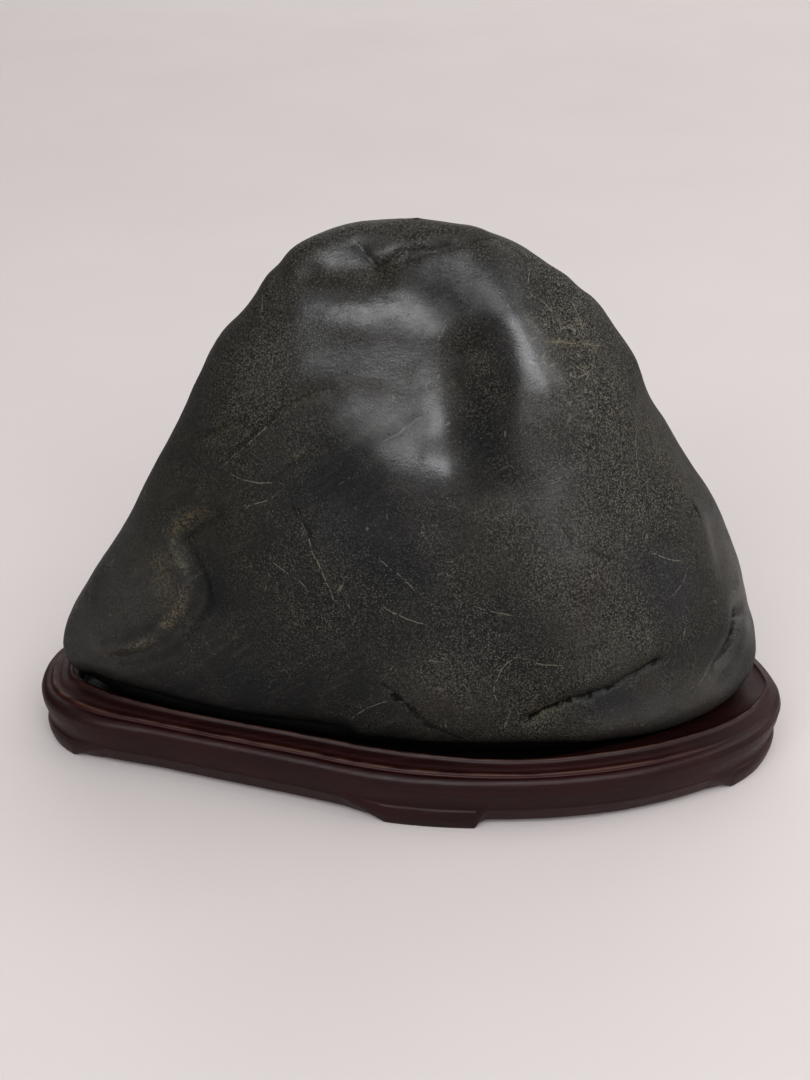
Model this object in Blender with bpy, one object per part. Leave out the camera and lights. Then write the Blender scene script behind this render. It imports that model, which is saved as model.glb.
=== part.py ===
"""A scholars rock resting in its carved wooden stand, for Blender 4.5.

The stone is one natural solid and the stand is one carved piece of wood. Both start as a UV sphere: the
sphere's rings become the levels of the stone, or the lines of the stand's moulding, and its columns run
around them. Metres, +Z up; the origin is on the table, under the middle of the stand.
"""
import math

import bmesh
import bpy
import numpy as np

MM = 0.001
COLLECTION = "scholars_rock"

# ---- stand: driving dimensions, in mm ----
STAND_TOP = 27.5          # crest of the ridge round the seat
SEAT_FLOOR = 20.0         # the stone stands on this
UNDERSIDE = 3.0           # flat under side between the feet
APRON_EDGE = 10.0         # where the apron's face turns under
FOOT_DEPTH = 16.0         # a foot's width from its front to its back

# The rim's outermost line, counterclockwise from the right end, seen from above: x, y, how far inside it the
# seat's ridge runs, and how wide the flat shelf inside the ridge is. The front bows out right of the middle.
RIM = [
    (149.8, -3, 5.5, 4), (134, 33, 7.5, 3), (85, 58, 9.5, 5), (10, 67, 10, 5),
    (-70, 63.5, 11, 5), (-123, 48, 12, 6), (-147, 22, 11.5, 5), (-148.1, -7, 12.8, 3),
    (-130, -26, 14.5, 2.4), (-95, -40.5, 14, 2.2), (-50, -55.5, 15.4, 2.2), (-5, -64.5, 11.8, 2.2),
    (40, -67.3, 9.3, 2.4), (82, -62, 10, 4.5), (118, -48.5, 9.3, 7), (142, -29, 8, 9.5),
]

# Feet, as fractions of the way round the rim line: side cut starts, flat starts, flat ends, side cut ends.
FEET = [
    (0.165, 0.178, 0.212, 0.225),     # middle of the back
    (0.302, 0.318, 0.484, 0.518),     # left end
    (0.665, 0.683, 0.729, 0.735),     # middle of the front
    (0.873, 0.898, 1.070, 1.085),     # right end, over the start of the line
]
COLUMNS_IN_SIDE_CUT = 2
COLUMN_STEP = 0.0135      # spacing of the columns elsewhere, as a fraction of the rim line

# Moulding, from the seat outwards and down: how far inside the rim line, as a share of the ridge's own
# distance plus some mm, and the height. The first height is the apron's, the second is a foot's.
MOULDING = [
    (1.00, 1.2, 26.6, 26.6), (1.00, 0.9, STAND_TOP, STAND_TOP), (1.00, 0.0, STAND_TOP, STAND_TOP),
    (0.93, 0.0, 26.3, 26.3), (0.62, 0.0, 25.2, 25.2), (0.42, 0.0, 25.0, 25.0),
    (0.35, 0.0, 23.9, 23.9), (0.10, 0.2, 23.3, 23.3), (0.00, 0.0, 20.8, 20.8),
    (0.00, 0.3, 17.0, 16.0), (0.00, 0.8, 14.0, 12.4), (0.00, 1.1, 12.3, 9.6), (0.00, 1.4, 11.0, 6.0),
]
FOOT_INSET = [0, 0, 0, 0, 0, 0, 0, 0, 0, 0.2, 0.9, 1.2, -0.3]     # added to the lines above, at a foot
EDGE_INSET = (1.5, 2.4)       # lower edge of the face: of the apron, and of a foot
UNDERCUT_INSET = (4.4, 5.0)   # back of the apron's undercut, and the same line on a foot's sole

# ---- stone: driving dimensions, in mm ----
# Level by level from the under side: height, left, right, front and back reach.
LEVELS = [
    (20.3, 10, 10, 2, 2), (20.3, -105, 112, -34, 34), (24, -127, 126, -47, 44), (33, -138, 137, -54, 51),
    (47, -137.5, 137.5, -55.5, 55), (67, -124.5, 131.5, -54, 55), (90, -110.5, 121.5, -50, 53),
    (115, -98, 109.5, -44, 49.5), (140, -84, 92.5, -36.5, 44.5), (163, -74, 79.5, -27.5, 38.5),
    (183, -58, 64.5, -17.5, 33), (198, -46, 47.5, -7, 28), (208.5, -24, 25, 1.5, 22), (213, 3, 3, 11, 11),
]
# Form of each level: the exponents of its front right, back right, back left and front left quarters (2 is
# an ellipse, less is flatter, more is squarer), and the x and y where the quarters meet.
FORM = [
    (2.0, 2.0, 2.6, 1.6, 10, 2), (2.0, 2.0, 2.6, 1.5, 30, 2), (2.0, 2.0, 2.6, 1.5, 36, 0),
    (2.0, 2.0, 2.6, 1.5, 36, 0), (2.0, 2.1, 2.6, 1.55, 34, 2), (2.1, 2.2, 2.5, 1.65, 32, 4),
    (2.1, 2.3, 2.3, 1.8, 30, 6), (2.1, 2.2, 2.1, 1.9, 26, 8), (2.1, 2.2, 2.0, 2.0, 22, 9),
    (2.1, 2.1, 2.0, 2.0, 16, 10), (2.0, 2.0, 2.0, 2.0, 10, 11), (2.0, 2.0, 2.0, 2.0, 5, 12),
    (2.0, 2.0, 2.0, 2.0, 3, 11), (2.0, 2.0, 2.0, 2.0, 3, 11),
]
STONE_COLUMNS = 88
STONE_RINGS = 36
COLUMN_SPREAD = 1.6       # root of the sections' length over their width

# Ridges, swells, hollows and cracks, each along a short path on the surface: how far it reaches to the side,
# how far it stands out (or, below zero, sinks in), and how sharp it is (2 is a soft swell, 1 a crack).
RELIEF = [
    # the front: a valley under the summit between a smooth two-stepped swell and a ridge
    ("valley", [(20, -4, 203), (24, -18, 182), (26, -27, 165), (25, -34, 148), (28, -39, 130)], 12, -5.0, 2),
    ("valley wall", [(17, -20, 176), (19, -28, 162), (19, -35, 146)], 6, -2.6, 2),
    ("right ridge", [(24, -3, 202), (31, -11, 191), (38, -18, 180), (44, -23, 168), (49, -29, 154)], 7.5, 3.0, 2),
    ("upper lip", [(-38, -6, 188), (-22, -13, 185), (-8, -15, 187), (6, -14, 190)], 8, 3.0, 2),
    ("facet", [(-26, -20, 170), (-6, -24, 171), (6, -25, 170)], 9, -1.4, 2),
    ("lower lip", [(-14, -31, 150), (0, -33, 151), (10, -36, 142)], 13, 3.0, 2),
    # the summit: a dent with a notch in its edge, a rough hollow under it and a broken ledge
    ("summit dent", [(-27, 0, 201), (-17, -1, 204)], 9, -4.0, 2),
    ("summit lip", [(-40, 8, 200), (-22, 12, 208), (-5, 9, 211)], 8, 1.6, 2),
    ("rough hollow", [(-32, -5, 193), (-14, -8, 196)], 6, -3.0, 2),
    ("notch", [(-19, 2, 206), (-11, -4, 200), (-2, -3, 203)], 2.6, -1.8, 1),
    ("ledge", [(-4, -4, 202), (7, -3, 204), (21, 1, 207), (36, 7, 204), (45, 5, 197)], 3.5, -1.0, 1),
    # the left end: a low lobe with a crease round it
    ("left lobe", [(-116, -8, 62), (-102, -12, 84), (-92, -12, 100)], 18, 3.0, 2),
    ("lobe crease", [(-76, -21, 113), (-86, -18, 103), (-84, -24, 88), (-84, -28, 80), (-90, -28, 68),
                     (-103, -25, 54), (-117, -18, 45)], 5, -1.8, 1),
    ("lobe hollow", [(-76, -29, 96), (-78, -33, 82)], 12, -3.0, 2),
    ("low swell", [(-50, -46, 60), (-5, -54, 55)], 26, 1.8, 2),
    # slanting grooves across the left shoulder
    ("upper groove", [(-54, -18, 153), (-41, -20, 157), (-28, -23, 163)], 4, -1.0, 1),
    ("left groove", [(-76, -10, 139), (-59, -17, 148)], 4, -1.0, 1),
    ("lower groove", [(-46, -27, 137), (-31, -31, 142)], 4, -0.8, 1),
    # the right side: a crack under a ledge, a smooth lobe below it, a cleft and a second shoulder
    ("right crack", [(45, -56, 43), (60, -54, 50), (69, -52, 51), (79, -49, 57), (92, -44, 62)], 4.5, -2.4, 1),
    ("right lobe", [(72, -50, 36), (104, -38, 42)], 15, 1.8, 2),
    ("crack ledge", [(60, -53, 62), (84, -47, 70)], 12, 1.4, 2),
    ("cleft", [(127, -16, 62), (123, -25, 52), (114, -33, 46)], 5, -1.8, 1),
    ("right shoulder", [(66, 12, 178), (80, 10, 160)], 12, 1.2, 2),
    ("shoulder notch", [(60, 4, 186), (61, 22, 185)], 5, -1.4, 2),
    # outline of the left shoulder
    ("left notch 1", [(-47, -2, 196), (-46, 16, 196)], 5, -1.3, 2),
    ("left notch 2", [(-66, -4, 172), (-67, 18, 170)], 7, -1.0, 2),
    ("left bump", [(-78, -2, 154), (-78, 16, 154)], 9, 1.0, 2),
    # the back: a long hollow, a rib beside it, a dish and a low ledge
    ("back hollow", [(-18, 34, 184), (-26, 44, 150), (-24, 51, 112)], 17, -4.2, 2),
    ("back rib", [(10, 30, 192), (16, 43, 158), (18, 52, 118), (12, 56, 78)], 13, 3.0, 2),
    ("back dish", [(62, 40, 140), (70, 47, 105)], 18, -3.2, 2),
    ("back ledge", [(-104, 28, 70), (-62, 46, 62), (-20, 54, 70)], 8, -2.2, 2),
    ("back foot", [(-88, 42, 40), (-34, 53, 40)], 15, 1.8, 2),
    ("back crack", [(34, 53, 84), (58, 52, 66), (86, 43, 58)], 4.5, -1.8, 1),
]
# Broad unevenness of a water-worn stone: wavelength in mm, direction, height in mm and phase.
WAVES = [
    (74, (0.8, 0.3, 0.5), 0.50, 0.4), (59, (-0.5, 0.6, 0.6), 0.45, 2.1), (46, (0.3, -0.8, 0.5), 0.35, 4.0),
    (38, (0.7, 0.5, -0.5), 0.30, 1.2), (31, (-0.6, -0.2, 0.8), 0.22, 5.1),
]


def through(points, t, closed=False):
    """Catmull-Rom curve through points with equal steps, read at t from 0 to 1."""
    p = np.asarray(points, dtype=float)
    if closed:
        p = np.vstack([p[-1], p, p[0], p[1]])
        t = np.asarray(t, dtype=float) % 1.0
    else:
        p = np.vstack([2 * p[0] - p[1], p, 2 * p[-1] - p[-2]])
        t = np.asarray(t, dtype=float)
    spans = len(p) - 3
    place = t * spans
    first = np.minimum(place.astype(int), spans - 1)
    f = (place - first)[..., None]
    a, b, c, d = (p[first + k] for k in range(4))
    return b + 0.5 * f * (c - a + f * (2 * a - 5 * b + 4 * c - d + f * (3 * (b - c) + d - a)))


# ---- the stone ----

def plain_stone(theta, s):
    """The stone without its relief, in mm: theta runs round it from +X, s from the under side to the top."""
    height, left, right, front, back = np.moveaxis(through(LEVELS, s), -1, 0)
    front_right, back_right, back_left, front_left, x0, y0 = np.moveaxis(through(FORM, s), -1, 0)
    c = np.cos(theta)
    d = np.sin(theta)
    power = np.where(c >= 0, np.where(d >= 0, back_right, front_right), np.where(d >= 0, back_left, front_left))
    reach = (np.abs(c) ** power + np.abs(d) ** power) ** (-1 / power)
    x = x0 + np.where(c >= 0, right - x0, x0 - left) * reach * c
    y = y0 + np.where(d >= 0, back - y0, y0 - front) * reach * d
    return np.stack([x, y, height], axis=-1)


def outward(theta, s, step=0.004):
    """Unit normal of the plain stone, from points a small step away on either side."""
    around = plain_stone(theta + step, s) - plain_stone(theta - step, s)
    up = plain_stone(theta, np.minimum(s + step, 1)) - plain_stone(theta, np.maximum(s - step, 0))
    normal = np.cross(around, up)
    length = np.linalg.norm(normal, axis=-1, keepdims=True)
    pole = np.where(s[..., None] > 0.5, 1.0, -1.0) * np.array([0.0, 0.0, 1.0])
    return np.where(length > 1e-6, normal / np.maximum(length, 1e-6), pole)


def distance_to_path(p, path):
    """Distance from each point of p to a smooth path through the given points."""
    path = through(path, np.linspace(0, 1, 2 * len(path) + 1))
    nearest = np.full(p.shape[:-1], np.inf)
    for a, b in zip(path[:-1], path[1:]):
        run = b - a
        along = np.clip(((p - a) @ run) / (run @ run), 0, 1)
        nearest = np.minimum(nearest, np.linalg.norm(p - a - along[..., None] * run, axis=-1))
    return nearest


def stone_surface(theta, s):
    """The stone in mm: the plain form, moved along its normals by the relief and the broad waves."""
    p = plain_stone(theta, s)
    rise = np.zeros(p.shape[:-1])
    for _, path, width, height, sharpness in RELIEF:
        rise += height * np.exp(-(distance_to_path(p, path) / width) ** sharpness)
    for length, direction, height, phase in WAVES:
        rise += height * np.sin(2 * math.pi / length * (p @ np.array(direction)) + phase)
    above_seat = np.clip((p[..., 2] - 26.0) / 14.0, 0, 1)
    return p + (rise * above_seat)[..., None] * outward(theta, s)


# ---- the stand ----

def rim_line(u):
    """The rim's outermost line at u (0 to 1 round it): x and y, the outward normal, ridge inset and shelf."""
    x, y, ridge, shelf = np.moveaxis(through(RIM, u, closed=True), -1, 0)
    ahead = through(RIM, u + 0.002, closed=True)[..., :2] - through(RIM, u - 0.002, closed=True)[..., :2]
    ahead /= np.linalg.norm(ahead, axis=-1, keepdims=True)
    normal = np.stack([ahead[..., 1], -ahead[..., 0]], axis=-1)
    return np.stack([x, y], axis=-1), normal, ridge, shelf


def footing(u):
    """1 where the rim line stands on a foot, 0 between the feet, and sloping at a foot's side cuts."""
    weight = np.zeros_like(u)
    for start, flat, flat_end, end in FEET:
        for turn in (-1, 0, 1):
            weight = np.maximum(weight, np.interp(u, np.add((start, flat, flat_end, end), turn), (0, 1, 1, 0)))
    return weight


def stand_columns():
    """Places of the columns round the rim line: at every corner of the feet, and evenly between them."""
    marks = [mark for foot in FEET for mark in foot]
    places = []
    for a, b in zip(marks, marks[1:] + [marks[0] + 1]):
        side_cut = b - a < 0.025
        count = COLUMNS_IN_SIDE_CUT if side_cut else max(1, round((b - a) / COLUMN_STEP))
        places += [a + (b - a) * k / count for k in range(count)]
    return np.array(places)


def stand_rings(u):
    """Rings of the stand from the middle of the under side, out and up over the rim, to the seat's middle."""
    line, normal, ridge, shelf = rim_line(u)
    foot = footing(u)

    def ring(inset, height):
        height = np.broadcast_to(height, u.shape)
        return np.column_stack([line - normal * np.broadcast_to(inset, u.shape)[:, None], height])

    def mix(pair):
        return pair[0] + (pair[1] - pair[0]) * foot

    rings = [
        ring(FOOT_DEPTH, UNDERSIDE),
        ring(FOOT_DEPTH - 1, UNDERSIDE * (1 - foot)),
        ring(mix(UNDERCUT_INSET), UNDERSIDE * (1 - foot)),
        ring(mix(EDGE_INSET), APRON_EDGE * (1 - foot)),
    ]
    for (share, plus, apron_z, foot_z), foot_inset in reversed(list(zip(MOULDING, FOOT_INSET))):
        rings.append(ring(share * ridge + plus + foot_inset * foot, mix((apron_z, foot_z))))
    rings.append(ring(ridge + shelf, 26.2))
    rings.append(ring(ridge + shelf + 1.0, SEAT_FLOOR))
    return rings


# ---- Blender ----

def material(name, colour, roughness):
    made = bpy.data.materials.new(name)
    made.use_nodes = True
    shader = made.node_tree.nodes["Principled BSDF"]
    shader.inputs["Base Color"].default_value = (*colour, 1.0)
    shader.inputs["Roughness"].default_value = roughness
    shader.inputs["Metallic"].default_value = 0.0
    return made


def sphere_object(name, columns, rings, collection):
    """A UV sphere to be shaped, and its vertices' columns and rings; the poles are rings of one vertex."""
    mesh = bpy.data.meshes.new(name)
    ball = bmesh.new()
    bmesh.ops.create_uvsphere(ball, u_segments=columns, v_segments=rings + 1, radius=1.0)
    ball.to_mesh(mesh)
    ball.free()
    made = bpy.data.objects.new(name, mesh)
    collection.objects.link(made)
    unit = np.array([vertex.co for vertex in mesh.vertices])
    turn = np.arctan2(unit[:, 1], unit[:, 0]) / (2 * math.pi)
    climb = 0.5 + np.arcsin(np.clip(unit[:, 2], -1, 1)) / math.pi
    return made, np.rint(turn * columns).astype(int) % columns, np.rint(climb * (rings + 1)).astype(int)


def set_shape(made, points, finish, sharp_degrees):
    """Moves the sphere's vertices to their places, in mm, and gives the piece its finish."""
    mesh = made.data
    mesh.vertices.foreach_set("co", (points * MM).ravel())
    mesh.update()
    mesh.materials.append(finish)
    mesh.shade_smooth()
    if sharp_degrees:
        mesh.set_sharp_from_angle(angle=math.radians(sharp_degrees))


def make_stone(collection, finish):
    made, column, ring = sphere_object("stone", STONE_COLUMNS, STONE_RINGS, collection)
    turn = 2 * math.pi * column / STONE_COLUMNS
    theta = np.arctan2(COLUMN_SPREAD * np.sin(turn), np.cos(turn))    # even steps round the long section
    set_shape(made, stone_surface(theta, ring / (STONE_RINGS + 1)), finish, None)


def make_stand(collection, finish):
    u = stand_columns()
    rings = stand_rings(u)
    made, column, ring = sphere_object("stand", len(u), len(rings), collection)
    middle = rings[-1].mean(axis=0)
    under = np.broadcast_to((middle[0], middle[1], UNDERSIDE), rings[0].shape)
    seat = np.broadcast_to((middle[0], middle[1], SEAT_FLOOR), rings[0].shape)
    lines = np.array([under, *rings, seat])
    set_shape(made, lines[ring, column], finish, 28)


def main():
    for old in list(bpy.data.objects):
        bpy.data.objects.remove(old, do_unlink=True)
    collection = bpy.data.collections.new(COLLECTION)
    bpy.context.scene.collection.children.link(collection)
    make_stone(collection, material("dark stone", (0.030, 0.031, 0.028), 0.38))
    make_stand(collection, material("stained wood", (0.045, 0.012, 0.010), 0.35))


main()
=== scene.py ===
# %% [markdown]
# # A scholars rock on its carved stand
#
# A scholars rock is a stone that a river or the rain has worn into the likeness of a mountain. Its owner
# rubs it with wax until it has a soft, dark sheen, and has a wooden stand carved that fits its foot. This
# notebook dresses the two plain solids of such a piece: it makes the fine surface of the stone and of the
# stand with numpy, gives them stone and stained wood as procedural materials, and sets up a small studio.
#
# First the imported model is loaded. It is the fixed frame: every new surface lies where its solid lies.

# %% Load the frame
import math

import bpy
import numpy as np
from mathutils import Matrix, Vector


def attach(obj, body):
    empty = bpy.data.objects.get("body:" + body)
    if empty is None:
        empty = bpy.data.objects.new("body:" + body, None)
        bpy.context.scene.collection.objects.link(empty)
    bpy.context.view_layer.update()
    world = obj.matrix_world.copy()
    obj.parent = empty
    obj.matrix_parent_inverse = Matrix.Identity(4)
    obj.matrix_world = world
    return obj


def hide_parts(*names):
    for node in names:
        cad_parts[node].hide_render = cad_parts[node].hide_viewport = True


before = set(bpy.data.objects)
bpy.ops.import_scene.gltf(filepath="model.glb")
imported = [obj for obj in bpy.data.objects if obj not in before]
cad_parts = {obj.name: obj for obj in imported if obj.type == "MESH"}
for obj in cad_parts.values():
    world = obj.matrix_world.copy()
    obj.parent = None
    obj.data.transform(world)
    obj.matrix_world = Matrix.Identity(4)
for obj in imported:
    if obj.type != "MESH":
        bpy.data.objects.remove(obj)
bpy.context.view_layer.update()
MM = 0.001

# %% [markdown]
# ## Tools for working out a surface
#
# Both pieces are surfaces on a grid: one number runs round the piece and the other from its underside to its
# top. Three helpers do the work. `through` draws a smooth curve through a few points. `lattice_noise` gives
# soft random heights that are the same on each run. `closed_skin` turns a grid of points into a closed mesh.


# %% A smooth curve through points
def through(points, t, closed=False):
    """Catmull-Rom curve through equally spaced points, read at t from 0 to 1.

    Between points b and c, with a before and d after them and f running from 0 to 1, it is
    b + f/2 * (c - a + f * (2a - 5b + 4c - d + f * (3(b - c) + d - a))).
    """
    p = np.asarray(points, dtype=float)
    t = np.asarray(t, dtype=float)
    if closed:
        p = np.vstack([p[-1], p, p[0], p[1]])
        t = t % 1.0
    else:
        p = np.vstack([2 * p[0] - p[1], p, 2 * p[-1] - p[-2]])
    spans = len(p) - 3
    place = t * spans
    first = np.minimum(place.astype(int), spans - 1)
    f = (place - first)[..., None]
    a, b, c, d = (p[first + k] for k in range(4))
    return b + 0.5 * f * (c - a + f * (2 * a - 5 * b + 4 * c - d + f * (3 * (b - c) + d - a)))


# %% Soft noise
def corner_value(cell, seed):
    """A fixed value from -1 to 1 for each whole-numbered cell corner: the fraction of a large sine."""
    mixed = cell @ np.array([127.1, 311.7, 74.7]) + 53.3 * seed
    return 2 * np.modf(np.abs(np.sin(mixed) * 43758.5453))[0] - 1


def lattice_noise(p, size, seed):
    """Smooth noise: corner values of a cubic lattice, mixed by the weights 3f^2 - 2f^3 along each axis."""
    q = p / size
    cell = np.floor(q)
    f = q - cell
    weight = f * f * (3 - 2 * f)
    total = np.zeros(p.shape[:-1])
    for corner in np.ndindex(2, 2, 2):
        share = np.prod(np.where(corner, weight, 1 - weight), axis=-1)
        total += share * corner_value(cell + corner, seed)
    return total


def layered_noise(p, size, layers, seed):
    """Layers of lattice noise, each with half the size and half the height of the one before."""
    return sum(lattice_noise(p, size / 2 ** k, seed + k) / 2 ** k for k in range(layers))


# %% From a grid to a closed mesh
def closed_skin(name, rows):
    """A closed mesh from rows of points in mm, shape (rows, columns, 3).

    Each row is a closed ring; neighbouring rings are joined by quads, and the first and last row are drawn
    together to one middle point each, by a fan of triangles.
    """
    count, columns = rows.shape[:2]
    corners = np.vstack([rows.reshape(-1, 3), rows[0].mean(axis=0), rows[-1].mean(axis=0)])
    here = np.arange(columns)
    after = (here + 1) % columns
    low = np.arange(count - 1)[:, None] * columns
    quads = np.stack([low + here, low + after, low + columns + after, low + columns + here], axis=-1)
    under = np.stack([np.full(columns, count * columns), after, here], axis=-1)
    last = (count - 1) * columns
    over = np.stack([last + here, last + after, np.full(columns, count * columns + 1)], axis=-1)
    mesh = bpy.data.meshes.new(name)
    mesh.vertices.add(len(corners))
    mesh.vertices.foreach_set("co", (corners * MM).ravel())
    loops = np.concatenate([quads.ravel(), under.ravel(), over.ravel()])
    sizes = np.concatenate([np.full(quads.size // 4, 4), np.full(2 * columns, 3)])
    mesh.loops.add(len(loops))
    mesh.loops.foreach_set("vertex_index", loops.astype(np.int32))
    mesh.polygons.add(len(sizes))
    mesh.polygons.foreach_set("loop_start", np.concatenate([[0], np.cumsum(sizes)[:-1]]).astype(np.int32))
    mesh.update(calc_edges=True)
    mesh.shade_smooth()
    made = bpy.data.objects.new(name, mesh)
    bpy.context.scene.collection.objects.link(made)
    print(name, "has", int((sizes - 2).sum()), "triangles")
    return made


def paint(piece, name, values):
    """Stores one number per grid point as a named attribute; the two middle points take their row's mean."""
    values = np.asarray(values, dtype=float)
    flat = np.concatenate([values.ravel(), [values[0].mean(), values[-1].mean()]]).astype(np.float32)
    piece.data.attributes.new(name, "FLOAT", "POINT").data.foreach_set("value", flat)


# %% [markdown]
# ## The stone's plain form
#
# The real stone is one water-worn lump: broad at the foot, leaning up to a rounded summit left of the middle.
# It could be sculpted by hand, but a lump like this is easy to describe as a stack of level outlines. Each
# level says how far the stone reaches left, right, front and back, and how full its four quarters are. A
# smooth curve runs through the levels from the under side to the summit.

# %% Levels of the stone
# Height, left, right, front and back reach, in mm. Most of the left and right reaches were found by a
# least-squares fit to the stone's outline and rounded to half a millimetre; the rest was listed.
LEVELS = [
    (20.3, 10, 10, 2, 2), (20.3, -105, 112, -34, 34), (24, -127, 126, -47, 44), (33, -138, 137, -54, 51),
    (47, -137.5, 137.5, -55.5, 55), (67, -124.5, 131.5, -54, 55), (90, -110.5, 121.5, -50, 53),
    (115, -98, 109.5, -44, 49.5), (140, -84, 92.5, -36.5, 44.5), (163, -74, 79.5, -27.5, 38.5),
    (183, -58, 64.5, -17.5, 33), (198, -46, 47.5, -7, 28), (208.5, -24, 25, 1.5, 22), (213, 3, 3, 11, 11),
]
# Exponents of the front right, back right, back left and front left quarters, and where they meet: x, y.
FORM = [
    (2.0, 2.0, 2.6, 1.6, 10, 2), (2.0, 2.0, 2.6, 1.5, 30, 2), (2.0, 2.0, 2.6, 1.5, 36, 0),
    (2.0, 2.0, 2.6, 1.5, 36, 0), (2.0, 2.1, 2.6, 1.55, 34, 2), (2.1, 2.2, 2.5, 1.65, 32, 4),
    (2.1, 2.3, 2.3, 1.8, 30, 6), (2.1, 2.2, 2.1, 1.9, 26, 8), (2.1, 2.2, 2.0, 2.0, 22, 9),
    (2.1, 2.1, 2.0, 2.0, 16, 10), (2.0, 2.0, 2.0, 2.0, 10, 11), (2.0, 2.0, 2.0, 2.0, 5, 12),
    (2.0, 2.0, 2.0, 2.0, 3, 11), (2.0, 2.0, 2.0, 2.0, 3, 11),
]


def plain_stone(theta, s):
    """The plain form in mm; theta runs round it from +X, s from the under side to the summit.

    Each quarter of a level is a superellipse: |x/a|^n + |y/b|^n = 1, with its own reach a, b and exponent n.
    """
    height, left, right, front, back = np.moveaxis(through(LEVELS, s), -1, 0)
    front_right, back_right, back_left, front_left, x0, y0 = np.moveaxis(through(FORM, s), -1, 0)
    c = np.cos(theta)
    d = np.sin(theta)
    on_right = np.where(d >= 0, back_right, front_right)
    on_left = np.where(d >= 0, back_left, front_left)
    power = np.where(c >= 0, on_right, on_left)
    reach = (np.abs(c) ** power + np.abs(d) ** power) ** (-1 / power)
    x = x0 + np.where(c >= 0, right - x0, x0 - left) * reach * c
    y = y0 + np.where(d >= 0, back - y0, y0 - front) * reach * d
    return np.stack([x, y, height], axis=-1)


def outward(theta, s, step=0.004):
    """Unit normal of the plain form: the cross product of a small step round it and a small step up it."""
    around = plain_stone(theta + step, s) - plain_stone(theta - step, s)
    up = plain_stone(theta, np.minimum(s + step, 1)) - plain_stone(theta, np.maximum(s - step, 0))
    normal = np.cross(around, up)
    return normal / np.maximum(np.linalg.norm(normal, axis=-1, keepdims=True), 1e-9)


# %% [markdown]
# The grid's rows lie at even steps along the surface, from under the seat to just short of the summit. Its
# columns crowd towards the front, where the finest wear is.


# %% The stone's grid
def even_steps(count):
    """Values of s whose levels lie at even distances: the inverse of the mean length climbed up to s."""
    s = np.linspace(0.002, 0.999, 1500)
    lines = plain_stone(*np.meshgrid(np.radians([0.0, 90.0, 180.0, 270.0]), s, indexing="ij"))
    climbed = np.linalg.norm(np.diff(lines, axis=1), axis=-1).mean(axis=0)
    climbed *= np.where(s[1:] < 0.13, 0.2, 1.0)        # few rows under the stone, where nothing shows
    climbed = np.concatenate([[0.0], np.cumsum(climbed)])
    return np.interp(np.linspace(0, climbed[-1], count), climbed, s)


STONE_COLUMNS = 430
STONE_ROWS = 228
COLUMN_SPREAD = 1.6      # root of a level's length over its width: gives even steps along the outline
FRONT_CROWDING = 0.38    # share by which the columns draw towards the front

turn = 2 * np.pi * np.arange(STONE_COLUMNS) / STONE_COLUMNS
turn = turn - FRONT_CROWDING * np.cos(turn)
theta = np.arctan2(COLUMN_SPREAD * np.sin(turn), np.cos(turn))
theta, climb = np.meshgrid(theta, even_steps(STONE_ROWS))
plain = plain_stone(theta, climb)
normals = outward(theta, climb)
print("plain stone reaches", plain.min(axis=(0, 1)).round(1), "to", plain.max(axis=(0, 1)).round(1))

# %% [markdown]
# ## Lumps, valleys and cracks
#
# What makes a stone worth keeping is its relief. Each feature here is a short path on the surface with a
# width, a height and a sharpness, like one stroke of a sculpting tool. The strokes are added up and the
# surface is moved along its normals. Hollows have a height below zero.


# %% One stroke of relief
def distance_to_path(p, path, reach, normals=None):
    """Distance from points p to a smooth path, only worked out within reach of it (infinite elsewhere).

    For each short stretch from a to b the nearest point is a + t(b - a), with t clipped to 0..1. With
    normals, the part of the distance along the surface's normal n is left out: v - (v . n) n.
    """
    path = through(path, np.linspace(0, 1, 4 * len(path) - 3))
    nearest = np.full(p.shape[:-1], np.inf)
    near = np.all((p > path.min(axis=0) - reach) & (p < path.max(axis=0) + reach), axis=-1)
    q = p[near]
    best = np.full(len(q), np.inf)
    for a, b in zip(path[:-1], path[1:]):
        run = b - a
        t = np.clip(((q - a) @ run) / (run @ run), 0, 1)
        away = q - a - t[:, None] * run
        if normals is not None:
            away -= (away * normals[near]).sum(axis=-1, keepdims=True) * normals[near]
        best = np.minimum(best, np.linalg.norm(away, axis=-1))
    nearest[near] = best
    return nearest


def stroke(p, path, width, height, sharpness):
    """A bump or groove along a path: height * exp(-(distance / width) ^ sharpness)."""
    return height * np.exp(-(distance_to_path(p, path, 6 * width) / width) ** sharpness)


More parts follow.
